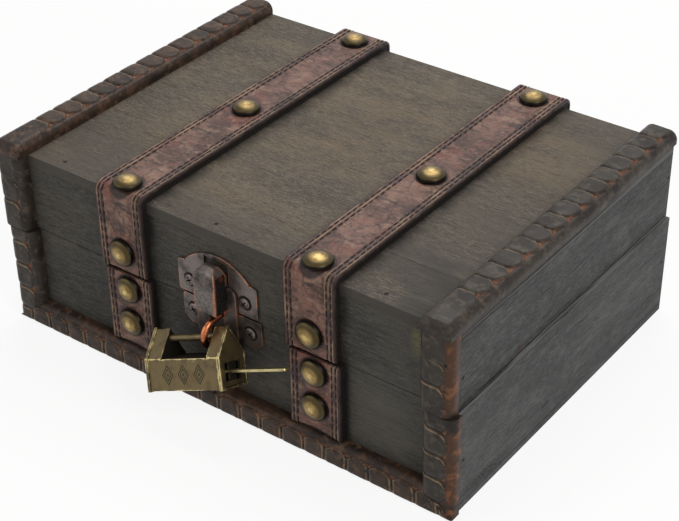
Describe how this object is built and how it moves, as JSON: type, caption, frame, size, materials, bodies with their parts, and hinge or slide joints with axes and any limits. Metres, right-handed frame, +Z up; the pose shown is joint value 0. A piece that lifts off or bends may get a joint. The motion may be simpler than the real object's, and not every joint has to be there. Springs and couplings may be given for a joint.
{
  "type": "treasure chest box",
  "caption": "Low wooden treasure chest box with a hinged lid, front corner mouldings, leather straps with dome studs, a hasp on a staple and a sliding-bolt padlock with key",
  "frame": {"origin": "centre of the base box's footprint, on the surface that it stands on", "axes": "+X to the right seen from the front, the front faces -Y, +Z up"},
  "size_m": [0.2237, 0.1923, 0.088],
  "materials": {
    "board_wood": "dark stained boards with a straight grain",
    "moulding_wood": "dark carved wood with worn edges",
    "strap_batten": "black",
    "strap_leather": "reddish brown with a grained skin",
    "stud_brass": "aged",
    "latch_metal": "dark bronze with worn edges",
    "staple_copper": "bright wire",
    "screw_metal": "dark bronze",
    "lock_brass": "aged",
    "spring_steel": "spring steel",
    "key_steel": "flat strip",
    "hinge_metal": "dark bronze"
  },
  "bodies": {
    "base": {"base_back": "board_wood", "base_back_strap_batten_left": "strap_batten", "base_back_strap_batten_right": "strap_batten", "base_back_strap_leather_left": "strap_leather", "base_back_strap_leather_right": "strap_leather", "base_bottom": "board_wood", "base_foot_moulding": "moulding_wood", "base_front": "board_wood", "base_front_strap_batten_left": "strap_batten", "base_front_strap_batten_right": "strap_batten", "base_front_strap_leather_left": "strap_leather", "base_front_strap_leather_right": "strap_leather", "base_left": "board_wood", "base_left_moulding": "moulding_wood", "base_right": "board_wood", "base_right_moulding": "moulding_wood", "base_studs": "stud_brass", "hinge_base_leaf_left": "hinge_metal", "hinge_base_leaf_right": "hinge_metal", "hinge_base_screws": "screw_metal", "hinge_pins": "hinge_metal", "latch_lower_plate": "latch_metal", "latch_lower_screws": "screw_metal", "latch_staple": "staple_copper"},
    "lid": {"hasp_pin": "latch_metal", "hinge_lid_leaf_left": "hinge_metal", "hinge_lid_leaf_right": "hinge_metal", "hinge_lid_screws": "screw_metal", "latch_upper_plate": "latch_metal", "latch_upper_screws": "screw_metal", "lid_back": "board_wood", "lid_front": "board_wood", "lid_left": "board_wood", "lid_left_moulding": "moulding_wood", "lid_left_top_moulding": "moulding_wood", "lid_right": "board_wood", "lid_right_moulding": "moulding_wood", "lid_right_top_moulding": "moulding_wood", "lid_strap_batten_left": "strap_batten", "lid_strap_batten_right": "strap_batten", "lid_strap_leather_left": "strap_leather", "lid_strap_leather_right": "strap_leather", "lid_studs": "stud_brass", "lid_top": "board_wood"},
    "hasp": {"latch_hasp": "latch_metal"},
    "padlock": {"padlock_body": "lock_brass", "padlock_key_plate": "lock_brass"},
    "padlock_bolt": {"padlock_bolt": "lock_brass", "padlock_springs": "spring_steel"},
    "padlock_key": {"padlock_key": "key_steel"}
  },
  "joints": [
    {"name": "lid_hinge", "type": "hinge", "parent": "base", "child": "lid", "pos_m": [0, 0.0809, 0.04665], "axis": [-1, 0, 0], "range_deg": [0, 110]},
    {"name": "hasp_hinge", "type": "hinge", "parent": "lid", "child": "hasp", "pos_m": [0.0001, -0.0834, 0.0647], "axis": [-1, 0, 0], "range_deg": [0, 85]},
    {"name": "padlock_swing", "type": "hinge", "parent": "base", "child": "padlock", "pos_m": [0.0018, -0.08735, 0.0388], "axis": [-0.9254, -0.1632, -0.342], "range_deg": [0, 50]},
    {"name": "bolt_slide", "type": "slide", "parent": "padlock", "child": "padlock_bolt", "axis": [-0.9254, -0.1632, -0.342], "range_m": [0, 0.024], "deforming": ["padlock_springs"]},
    {"name": "key_slide", "type": "slide", "parent": "padlock", "child": "padlock_key", "axis": [0.9254, 0.1632, 0.342], "range_m": [-0.009, 0.0035]}
  ],
  "couplings": [
    {"joint": "hasp_hinge", "follows": "lid_hinge", "ratio": 0.7727}
  ]
}
